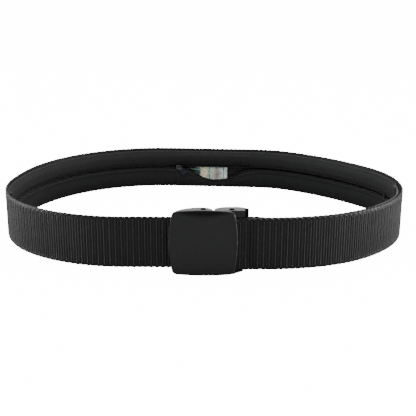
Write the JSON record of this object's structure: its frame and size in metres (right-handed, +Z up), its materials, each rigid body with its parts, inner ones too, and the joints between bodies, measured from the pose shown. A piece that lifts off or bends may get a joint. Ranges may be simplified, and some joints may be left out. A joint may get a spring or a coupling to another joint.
{
  "type": "money belt",
  "caption": "Ribbed webbing belt with a flip-lever plastic buckle and a zippered inner pocket, part open on folded notes.",
  "frame": {"origin": "middle of the closed loop's outline, at the height of the buckle's lowest point", "axes": "+X along the buckle's face to the wearer's left, +Y from the buckle to the back of the loop, +Z up across the webbing"},
  "size_m": [0.3378, 0.2458, 0.051],
  "materials": {
    "webbing": "ribbed weave, matt",
    "strap_tip": "matt",
    "lining": "plain weave, matt",
    "zipper_tape": "matt",
    "thread": "matt",
    "coil": "satin",
    "slider_metal": "dark, worn to metal at the edges",
    "pull_metal": "dark blue-grey, satin",
    "buckle_plastic": "matt, finely textured",
    "pin_steel": "dark",
    "note_paper": "matt"
  },
  "bodies": {
    "belt": {"webbing": "webbing", "strap_tip": "strap_tip", "fold_stitching": "thread", "lining_upper": "lining", "lining_lower": "lining", "zipper_tape_upper": "zipper_tape", "zipper_tape_lower": "zipper_tape", "zipper_coil_upper": "coil", "zipper_coil_lower": "coil", "zipper_coil_lip": "coil", "zipper_bottom_stop": "slider_metal", "zipper_top_stops": "slider_metal", "pocket_end_left": "lining", "pocket_end_right": "lining", "seam_stitching_upper": "thread", "seam_stitching_lower": "thread", "zipper_stitching_upper": "thread", "zipper_stitching_lower": "thread", "banknote_1": "note_paper", "banknote_2": "note_paper", "banknote_3": "note_paper", "buckle_frame": "buckle_plastic", "rear_pin": "pin_steel"},
    "cover": {"buckle_cover": "buckle_plastic", "pivot_pin": "pin_steel"},
    "slider": {"zipper_slider": "slider_metal"},
    "pull": {"zipper_pull": "pull_metal"}
  },
  "joints": [
    {"name": "cover_lever", "type": "hinge", "parent": "belt", "child": "cover", "pos_m": [-0.00052, -0.11667, 0.0255], "axis": [0, 0, -1], "range_deg": [0, 12]},
    {"name": "zipper_slide", "type": "slide", "parent": "belt", "child": "slider", "axis": [0.9976, -0.0698, 0], "range_m": [0, 0.066], "deforming": ["zipper_coil_lip"]},
    {"name": "pull_hinge", "type": "hinge", "parent": "slider", "child": "pull", "pos_m": [-0.02698, 0.11506, 0.0242], "axis": [-0.693, 0.0485, -0.7193], "range_deg": [0, 170]}
  ]
}
